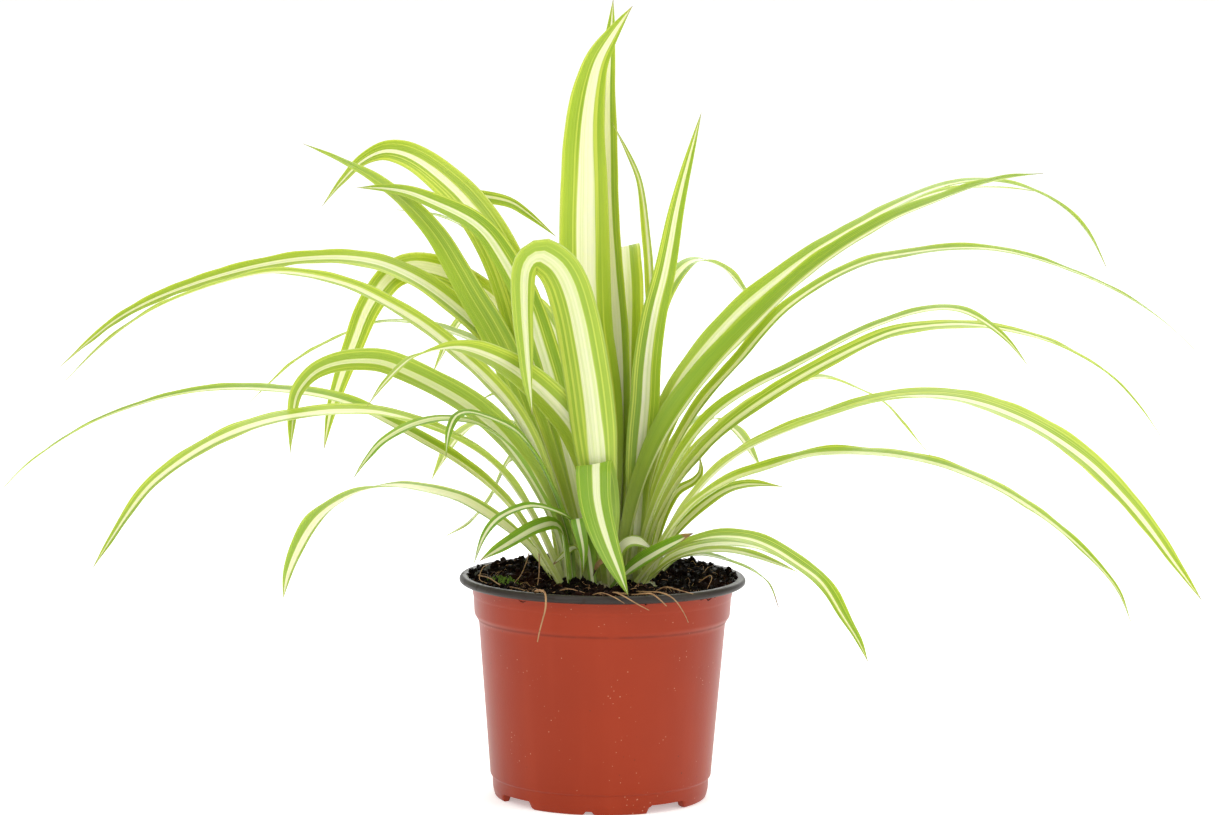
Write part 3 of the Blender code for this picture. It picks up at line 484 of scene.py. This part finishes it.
# past: how far beyond the soil's edge, onto the rim, each sort lies
crumbSorts = {
    "soil_crumbs": {"count": 1500, "small": 0.6, "large": 2.2, "rough": 0.9, "cuts": 1, "past": 1},
    "soil_grains": {"count": 2300, "small": 0.35, "large": 0.9, "rough": 0.7, "cuts": 0, "past": 2},
}


def crumbSpots(sort, dice):
    # places on the soil, a little sunk in it, with more small sizes than large ones
    f = crumbFacts
    reach, edge = soilFacts["edge"] + sort["past"], soilFacts["edge"] - f["rimWide"]
    for _ in range(sort["count"]):
        radius = reach * math.sqrt(dice.random())
        angle = dice.uniform(0, math.tau)
        size = sort["small"] + (sort["large"] - sort["small"]) * dice.random() ** f["fewLarge"]
        x, y = radius * math.cos(angle), radius * math.sin(angle)
        height = soilTop(x, y) if radius < edge else potHeight - f["rimSunk"]
        wide, flat = size * dice.uniform(*f["wide"]), size * dice.uniform(*f["flat"])
        stretch = Matrix.Diagonal((size * mm, wide * mm, flat * mm, 1))
        yield Matrix.Translation(Vector((x, y, height + f["proud"] * size)) * mm) @ turned(dice) @ stretch


def buildCrumbs(finish):
    dice = random.Random(soilFacts["seed"])
    for name, sort in crumbSorts.items():
        shapes = [lump(sort["rough"], sort["cuts"], dice) for _ in range(crumbFacts["shapes"])]
        scatter(name, shapes, crumbSpots(sort, dice), finish)


# Moss: a small patch of short green tufts on the soil at the left

mossFacts = {
    "middle": (-41, -6), "reach": (5.5, 3.5), "spread": 0.5, "count": 150, "seed": 5,
    "shapes": 5, "rough": 0.5, "size": (0.35, 0.8), "thin": 0.34, "tall": 1.5, "proud": 0.5, "lean": 0.9,
}


def mossFinish():
    paint = Paint("moss")
    place = paint.place()
    tone = paint.grain(place, 700.0, 2.0)
    colour = paint.blend(tone, "#27400C", "#7FA32B")
    return paint.finish(Base_Color=colour, Roughness=0.7 + 0.2 * tone, Normal=paint.relief(tone, 0.0003, 0.8))


def buildMoss():
    f = mossFacts
    dice = random.Random(f["seed"])
    spots = []
    for _ in range(f["count"]):
        x, y = (m + r * dice.gauss(0, f["spread"]) for m, r in zip(f["middle"], f["reach"]))
        size = dice.uniform(*f["size"])
        thin, tall = f["thin"] * size * mm, f["tall"] * size * mm
        lean = dice.uniform(0, f["lean"])
        lean = Matrix.Rotation(lean, 4, (dice.gauss(0, 1), dice.gauss(0, 1), 0.1))
        spot = Matrix.Translation(Vector((x, y, soilTop(x, y) + f["proud"] * size)) * mm)
        spots.append(spot @ lean @ Matrix.Diagonal((thin, thin, tall, 1)))
    shapes = [lump(f["rough"], 1, dice) for _ in range(f["shapes"])]
    scatter("moss", shapes, spots, mossFinish())


# Roots and fibres: thin bent threads of one curve object, made a mesh at the end

def rootFinish():
    paint = Paint("dry_root")
    place = paint.place()
    tone = paint.grain(place, 120.0, 3.0)
    colour = paint.blend(tone, "#7A5433", "#B48E60")
    colour = paint.blend(paint.grain(place, 400.0).above(0.6, 0.1) * 0.5, colour, "#5A3820")
    relief = paint.relief(paint.grain(place, 1500.0, 2.0), 0.00008, 0.8)
    return paint.finish(Base_Color=colour, Roughness=0.5 + 0.3 * tone, Normal=relief)


threadFacts = {"stations": 3, "fewest": 6, "thinning": 0.55}


def threads(name, runs, finish, replaced=(), sides=1):
    # each run is its thickness and its points, in millimetres; threads thin out towards their ends
    f = threadFacts
    curve = bpy.data.curves.new(name + "_line", "CURVE")
    curve.dimensions = "3D"
    curve.bevel_depth = mm
    curve.bevel_resolution = sides
    curve.use_fill_caps = True
    for thick, points in runs:
        steps = max(f["stations"] * len(points), f["fewest"])
        line = flow(points, np.linspace(0, len(points) - 1, steps))
        spline = curve.splines.new("POLY")
        spline.points.add(steps - 1)
        for index, (point, place) in enumerate(zip(spline.points, line)):
            point.co = (*(place * mm), 1.0)
            point.radius = thick * (1 - f["thinning"] * (index / (steps - 1)) ** 2)
    holder = bpy.data.objects.new(name + "_line", curve)
    bpy.context.scene.collection.objects.link(holder)
    bpy.context.view_layer.update()
    mesh = bpy.data.meshes.new_from_object(holder)
    bpy.data.objects.remove(holder)
    mesh.name = name
    mesh.materials.clear()
    mesh.shade_smooth()
    adopt(mesh, name, finish, replaced)


rimRoots = {
    "front_root": (0.5, [
        (-24, -38, 92.0), (-26, -44, 91.9), (-27.2, -49, 93.2), (-25.4, -54, 94.6), (-23.2, -58.5, 94.4),
        (-22.6, -61.4, 92.0), (-22.8, -62.0, 88), (-24.0, -60.2, 83), (-25.2, -58.4, 78),
        (-25.9, -57.2, 74)]),
    "rim_root": (0.45, [
        (4, -38, 91.8), (6, -42, 91.9), (9, -46, 92.1), (13, -51, 92.6), (17, -55, 93.8), (20, -58, 94.2),
        (23, -61, 92.6), (26, -60, 89.6)]),
}
loosePaths = [
    (0.3, [
        (14, -42, 92.6), (18, -49, 93.6), (24, -56, 94.4), (29, -60.5, 92.5), (33, -57, 86.5),
        (35, -54, 82)]),
    (0.3, [(2, -50, 92.2), (5, -56, 94.3), (9, -60.6, 93.4), (14, -60.5, 90.5), (19, -58, 87.5)]),
    (0.26, [(-4, -52, 92.5), (0, -57, 94.2), (5, -60.6, 93), (9, -59.8, 90.5)]),
    (0.24, [(-48, 4, 96), (-50, -8, 96.5), (-51, -16, 93), (-47, -22, 92)]),
    (0.3, [(-52, -2, 92.5), (-47, -14, 93.2), (-42, -26, 92.2), (-36, -34, 92.4), (-30, -40, 91.8)]),
    (0.26, [(-31, 6, 101), (-32, -2, 98), (-34, -10, 94), (-37, -18, 91.5)]),
    (0.3, [(-27, -12, 110), (-26.4, -16, 104), (-26.2, -20, 97), (-26.8, -25, 91.5)]),
    (0.28, [(22, -36, 92), (26, -42, 94.6), (31, -46, 94), (37, -48, 92.8)]),
    (0.24, [(40, -18, 93), (44, -22, 96.4), (45, -27, 96), (43, -33, 92.5)]),
    (0.22, [(-20, -46, 92.4), (-14, -50, 94.6), (-9, -50, 93.6), (-5, -47, 92)]),
]


fibreFacts = {
    "count": 150, "seed": 21, "reach": 53, "limit": 56, "points": (4, 7), "step": 2.3, "bend": 0.7,
    "height": (-0.2, 1.3), "thick": (0.08, 0.2),
}


def fibreRuns():
    # short fibres that wander over the soil and stop at its edge
    f = fibreFacts
    dice = random.Random(f["seed"])
    runs = []
    for _ in range(f["count"]):
        radius = f["reach"] * math.sqrt(dice.random())
        angle, heading = dice.uniform(0, math.tau), dice.uniform(0, math.tau)
        x, y = radius * math.cos(angle), radius * math.sin(angle)
        points = []
        for _ in range(dice.randint(*f["points"])):
            if math.hypot(x, y) > f["limit"]:
                break
            points.append((x, y, soilTop(x, y) + dice.uniform(*f["height"])))
            heading += dice.uniform(-f["bend"], f["bend"])
            x += f["step"] * math.cos(heading)
            y += f["step"] * math.sin(heading)
        if len(points) > 2:
            runs.append((dice.uniform(*f["thick"]), points))
    return runs


def buildRoots():
    finish = rootFinish()
    for name, run in rimRoots.items():
        threads(name.replace("root", "root_thread"), [run], finish, [name])
    threads("loose_roots", loosePaths, finish)
    threads("soil_fibres", fibreRuns(), finish, sides=0)


# Crowns: short fleshy stems with the scars of old leaves, sunk in the soil

def crownFinish():
    paint = Paint("crown_flesh")
    place = paint.place()
    x, y, z = paint.split(place)
    bands = paint.grain(paint.join(x * 60.0, y * 60.0, z * 900.0), 1.0, 3.0)
    colour = paint.blend(bands, "#B9B98A", "#E4E6C8")
    colour = paint.blend(paint.grain(place, 160.0, 3.0).above(0.5, 0.2) * 0.6, colour, "#6A4A2C")
    return paint.finish(
        Base_Color=colour, Roughness=0.5 + 0.2 * bands, Normal=paint.relief(bands, 0.0005, 0.7),
        Subsurface_Weight=0.2, Subsurface_Radius=(1.0, 0.9, 0.5), Subsurface_Scale=0.002,
    )


crownFacts = {
    "share": 0.86, "sunk": 0.9, "cuts": 5, "knobs": 0.1, "knobPitch": 3.1, "pits": 0.03, "pitPitch": 11,
}


def buildCrowns():
    f = crownFacts
    finish = crownFinish()
    for name in ("left_crown", "middle_crown", "right_crown"):
        low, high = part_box(name)
        middle, half = (low + high) / 2, (high - low) / 2
        bm = bmesh.new()
        bmesh.ops.create_icosphere(bm, subdivisions=f["cuts"], radius=1)
        for vert in bm.verts:
            knob = f["knobs"] * noise.noise(vert.co * f["knobPitch"] + middle * 40)  # each crown its own
            rough = 1 + knob + f["pits"] * noise.noise(vert.co * f["pitPitch"])
            vert.co = Vector([m + v * h * f["share"] * rough for m, v, h in zip(middle, vert.co, half)])
            vert.co.z -= f["sunk"] * mm
        settle(bm, name.replace("crown", "crown_stem"), finish, [name])


# Leaves: each fine blade follows the rings of its own frame leaf, with a channel and thin margins

bladeFacts = {
    "pitch": 2.4, "fewest": 26, "most": 120, "samples": 40, "crowding": 0.06, "around": 20,
    "middleThick": 0.5, "marginThick": 0.16, "taper": 0.7, "channel": 1.35,
    "rooted": 6.0, "rootRings": 3, "fullWidth": 1.8, "thinnest": 0.45,
    "ripple": 0.22, "wavePitch": 0.03, "rufflePitch": 0.07, "seed": 11,
}
# band: half-width of the cream band as a share of the leaf's, and shift: how far it lies off the middle;
# green: 0 deep, 1 bright; dry: brown share of the tip; shade: how dark the green is; streaks: more or
# fewer pale lines in the green; pale: how much green there is in the cream
leafLooks = {
    "usual": {
        "band": 0.32, "green": 0.62, "dry": 0.006, "shade": 0.0, "shift": 0.0, "streaks": 0.4, "pale": 0.4,
        "seed": 0.5},
    "left_leaf_01": {"band": 0.04, "green": 0.7, "shift": 0.2},
    "left_leaf_02": {"band": 0.34, "pale": 0.2},
    "left_leaf_10": {"band": 0.5, "pale": 0.2, "shade": 0.35, "green": 0.4},
    "left_leaf_16": {"shade": 0.9, "band": 0.34, "green": 0.1, "pale": 0.0},
    "left_leaf_17": {"dry": 0.05, "shade": 0.9, "band": 0.36, "green": 0.1, "pale": 0.0},
    "left_leaf_18": {"shade": 0.8, "band": 0.3, "green": 0.2, "pale": 0.0},
    "left_leaf_19": {"dry": 0.12, "shade": 0.3, "band": 0.6},
    "left_leaf_21": {"shade": 0.9, "band": 0.3, "green": 0.1, "pale": 0.0},
    "left_leaf_22": {"shade": 0.6, "band": 0.4, "green": 0.3, "pale": 0.6},
    "middle_leaf_01": {"band": 0.42, "pale": 0.1, "green": 0.75},
    "middle_leaf_02": {"band": 0.36, "pale": 0.1, "green": 0.7},
    "middle_leaf_03": {"band": 0.32, "shift": -0.05, "pale": 0.9, "streaks": 0.9, "green": 0.4},
    "middle_leaf_07": {"band": 0.2, "shade": 0.45, "green": 0.5, "pale": 0.0, "streaks": 1.0},
    "right_leaf_01": {"band": 0.26, "shift": 0.45, "green": 0.6, "pale": 0.6, "streaks": 0.2},
    "right_leaf_12": {"band": 0.28, "green": 0.5},
    "right_leaf_15": {"dry": 0.1, "shade": 0.7, "pale": 0.1},
    "right_leaf_16": {"dry": 0.14, "shade": 1.0, "band": 0.42, "green": 0.0, "pale": 0.0},
    "right_leaf_17": {"shade": 0.3, "band": 0.7, "pale": 0.0},
    "right_leaf_18": {"dry": 0.5, "band": 0.5},
}
# how far each leaf strays from those looks, either way
leafVaries = {"band": 0.06, "seed": 0.5, "green": 0.12, "shift": 0.12, "streaks": 0.5, "pale": 0.3}


def layersFrom(start, near):
    # the corners one step from the start, then those two steps away, and so on
    layers, seen = [{start}], {start}
    while layers[-1]:
        layers.append(set().union(*(near[vert] for vert in layers[-1])) - seen)
        seen |= layers[-1]
    return layers[:-1]


def ringsOf(name):
    # the frame leaf's rings from base to tip, each [left margin, underside, right margin, top]
    bm = bmesh.new()
    bm.from_mesh(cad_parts[name].data)
    bmesh.ops.remove_doubles(bm, verts=bm.verts, dist=0.001 * mm)
    near = {vert: {edge.other_vert(vert) for edge in vert.link_edges} for vert in bm.verts}
    # the tip has four neighbours, as the base's midrib has, but none of them is close
    tip = max((vert for vert in bm.verts if len(near[vert]) == 4),
              key=lambda vert: min(edge.calc_length() for edge in vert.link_edges))
    rings = []
    for layer in layersFrom(tip, near)[:0:-1]:
        ties = {vert: len(near[vert] & layer) for vert in layer}  # the base has a tie across it
        ring = [min(layer, key=lambda vert: (ties[vert], vert.index))]
        while len(ring) < 4:
            ring.append(min((near[ring[-1]] & layer) - set(ring), key=lambda vert: (ties[vert], vert.index)))
        rings.append(np.array([tuple(vert.co) for vert in ring]) / mm)
    tipPlace = np.array(tuple(tip.co)) / mm
    bm.free()
    rings[0] = named(rings[0])
    for index in range(1, len(rings)):
        was = rings[index - 1] - rings[index - 1].mean(axis=0)
        now = rings[index] - rings[index].mean(axis=0)
        orders = [[(start + way * k) % 4 for k in range(4)] for start in range(4) for way in (1, -1)]
        best = min(orders, key=lambda order: ((now[order] - was) ** 2).sum())
        rings[index] = rings[index][best]
    return np.array(rings), tipPlace


def named(ring):
    # margins are the two corners furthest apart; of the others, the top one is nearer their line
    pair = (0, 2) if np.linalg.norm(ring[0] - ring[2]) > np.linalg.norm(ring[1] - ring[3]) else (1, 3)
    rest = (1, 3) if pair == (0, 2) else (0, 2)
    left, right = ring[pair[0]], ring[pair[1]]
    line = unit(right - left)
    away = [np.linalg.norm((ring[k] - left) - line * ((ring[k] - left) @ line)) for k in rest]
    top, under = (rest[0], rest[1]) if away[0] < away[1] else (rest[1], rest[0])
    up = ring[top] - ring[under]
    ahead = np.cross(right - left, up)
    if ahead[2] > 0:
        left, right = right, left
    return np.array([left, ring[under], right, ring[top]])


def lengthsAlong(line):
    return np.concatenate([[0], np.cumsum(np.linalg.norm(np.diff(line, axis=0), axis=1))])


def bladeLines(name):
    # the two margins, the middle and the way up, at even stations from the rooted base to the tip
    f = bladeFacts
    rings, tip = ringsOf(name)
    left, under, right, top = (rings[:, k] for k in range(4))
    lines = [np.concatenate([line, tip[None]]) for line in (left, right, (top + under) / 2)]
    up = unit(top - under)
    up = np.concatenate([up, up[-1:]])
    fine = np.linspace(0, len(lines[2]) - 1, f["samples"] * len(lines[2]))
    along = lengthsAlong(flow(lines[2], fine))
    count = int(np.clip(along[-1] / f["pitch"], f["fewest"], f["most"]))
    share = np.linspace(0, 1, count)
    share = share + f["crowding"] * np.sin(math.pi * share) * share  # closer stations towards the tip
    at = np.interp(share / share[-1] * along[-1], along, fine)
    left, right, middle = (flow(line, at) for line in lines)
    up = unit(flow(up, at))
    ahead = unit(middle[1] - middle[0])
    root = np.linspace(f["rooted"], f["rooted"] / f["rootRings"], f["rootRings"])[:, None] * ahead
    left, right, middle = (np.concatenate([line[:1] - root, line]) for line in (left, right, middle))
    return left, right, middle, np.concatenate([np.repeat(up[:1], f["rootRings"], axis=0), up])


def bladeSurface(name, dice):
    # points of the blade as [station, corner], from the rooted base to the tip, and its length
    f = bladeFacts
    left, right, middle, up = bladeLines(name)
    run = lengthsAlong(middle)
    chord = (left + right) / 2
    half = (right - left) / 2
    width = np.linalg.norm(half, axis=1)
    rise = ((chord - middle) * up).sum(axis=1)
    phase = dice.uniform(0, 100)
    wave = np.array([noise.noise(Vector((phase, s * f["wavePitch"], 0))) for s in run])
    ruffle = [
        np.array([noise.noise(Vector((phase + side * 9, s * f["rufflePitch"], 5))) for s in run])
        for side in (0, 1)
    ]
    thin = np.clip(width / f["fullWidth"], f["thinnest"], 1)
    corners = np.linspace(-1, 1, f["around"] // 2 + 1)
    rows = []
    for side in (1, -1):
        for s in corners[:-1] * side:
            ripple = wave * s * s * 2 + ruffle[int(s > 0)] * abs(s) ** 3 * 3
            lift = rise * (abs(s) ** f["channel"]) + f["ripple"] * ripple * thin
            share = (1 - abs(s)) ** f["taper"]
            thick = (f["marginThick"] + (f["middleThick"] - f["marginThick"]) * share) * thin
            offset = lift + (side * thick / 2 if abs(s) < 1 else 0)
            rows.append(chord + half * s + up * (offset - rise)[:, None])
    return np.array(rows).transpose(1, 0, 2), run[-1]


def buildBlade(name, finish, dice):
    surface, length = bladeSurface(name, dice)
    stations, corners = surface.shape[:2]
    bm = bmesh.new()
    bm.loops.layers.uv.new("blade")
    bmesh.ops.create_grid(bm, x_segments=corners, y_segments=stations - 1, size=0.5, calc_uvs=True)
    for vert in bm.verts:
        corner = round((vert.co.x + 0.5) * corners) % corners
        station = round((vert.co.y + 0.5) * (stations - 1))
        vert.co = Vector(surface[station, corner]) * mm
    bmesh.ops.remove_doubles(bm, verts=bm.verts, dist=0.002 * mm)
    bmesh.ops.holes_fill(bm, edges=[edge for edge in bm.edges if edge.is_boundary], sides=0)
    bmesh.ops.recalc_face_normals(bm, faces=bm.faces)
    piece = settle(bm, name + "_blade", finish, [name], sharp=50)
    looks = {**leafLooks["usual"], **leafLooks.get(name, {})}
    for key, reach in leafVaries.items():
        looks[key] += reach * dice.uniform(-1, 1)
    packs = {
        "leafFacts": (looks["seed"], looks["band"], looks["green"]),
        "leafEnds": (looks["dry"], looks["shade"], length / 10),
        "leafSides": (looks["shift"], looks["streaks"], looks["pale"]),
    }
    for label, values in packs.items():
        attribute = piece.data.attributes.new(label, "FLOAT_VECTOR", "POINT")
        attribute.data.foreach_set("vector", np.tile(np.array(values, np.float32), len(piece.data.vertices)))


def buildLeaves():
    finish = leafFinish()
    names = sorted(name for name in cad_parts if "_leaf_" in name)
    dice = random.Random(bladeFacts["seed"])
    for name in names:
        buildBlade(name, finish, dice)
    print("leaves:", len(names))


# The studio: a pale sweep, soft boxes and the camera

studio = {
    "sweep": "#F7F7F7", "world": 0.5, "glow": 0.4, "reach": 6, "bendFrom": 2.0, "bendOver": 4,
    "aim": (0, 0, 0.15),
    "lamps": {
        "key": ((-1.5, -1.7, 1.9), 1.6, 30),
        "right": ((1.9, -1.1, 1.1), 1.4, 20),
        "top": ((0.1, 0.3, 2.2), 2.0, 22),
        "back": ((0.4, 1.9, 1.3), 1.6, 22),
        "low": ((0.3, -2.2, 0.5), 1.4, 7),
    },
}
shot = {
    "eye": (0.0028, -1.5, 0.320), "target": (0.0028, 0.0, 0.1635), "roll": 0.6,
    "lens": 106.53, "sensor": 36.0,
}


def buildStudio():
    paint = Paint("sweep")
    paint.finish(Base_Color=studio["sweep"], Roughness=0.9, Specular_IOR_Level=0.1,
                 Emission_Color=studio["sweep"], Emission_Strength=studio["glow"])
    bm = bmesh.new()
    bmesh.ops.create_grid(bm, x_segments=4, y_segments=60, size=studio["reach"])
    for vert in bm.verts:
        bend = max(vert.co.y - studio["bendFrom"], 0)
        vert.co.z = bend * bend / studio["bendOver"]
    mesh = bpy.data.meshes.new("floor")
    bm.to_mesh(mesh)
    bm.free()
    mesh.shade_smooth()
    mesh.materials.append(paint.material)
    floor = bpy.data.objects.new("floor", mesh)
    bpy.context.scene.collection.objects.link(floor)
    world = bpy.data.worlds.new("studio")
    bpy.context.scene.world = world
    world.use_nodes = True
    sky = world.node_tree.nodes["Background"]
    sky.inputs["Color"].default_value = (1, 1, 1, 1)
    sky.inputs["Strength"].default_value = studio["world"]
    for name, (place, size, power) in studio["lamps"].items():
        lamp = bpy.data.lights.new(name, "AREA")
        lamp.size = size
        lamp.energy = power
        holder = bpy.data.objects.new(name, lamp)
        holder.location = place
        holder.rotation_euler = (Vector(studio["aim"]) - Vector(place)).to_track_quat("-Z", "Y").to_euler()
        bpy.context.scene.collection.objects.link(holder)


def buildCamera():
    eye, target = Vector(shot["eye"]), Vector(shot["target"])
    ahead = (target - eye).normalized()
    level = ahead.cross(Vector((0, 0, 1))).normalized()
    roll = Matrix.Rotation(math.radians(shot["roll"]), 3, ahead)
    right = roll.transposed() @ level
    above = right.cross(ahead)
    camera = bpy.data.cameras.new("camera")
    camera.lens = shot["lens"]
    camera.sensor_width = shot["sensor"]
    camera.sensor_fit = "HORIZONTAL"
    holder = bpy.data.objects.new("camera", camera)
    turn = Matrix((right, above, -ahead)).transposed().to_4x4()
    holder.matrix_world = Matrix.Translation(eye) @ turn
    bpy.context.scene.collection.objects.link(holder)
    bpy.context.scene.camera = holder


buildPot()
print("pot done")
potMix = soilFinish()
buildSoil(potMix)
buildCrumbs(potMix)
buildMoss()
print("soil done")
buildRoots()
buildCrowns()
buildLeaves()
buildStudio()
buildCamera()
bpy.context.scene.view_settings.view_transform = "Standard"
print("studio done")
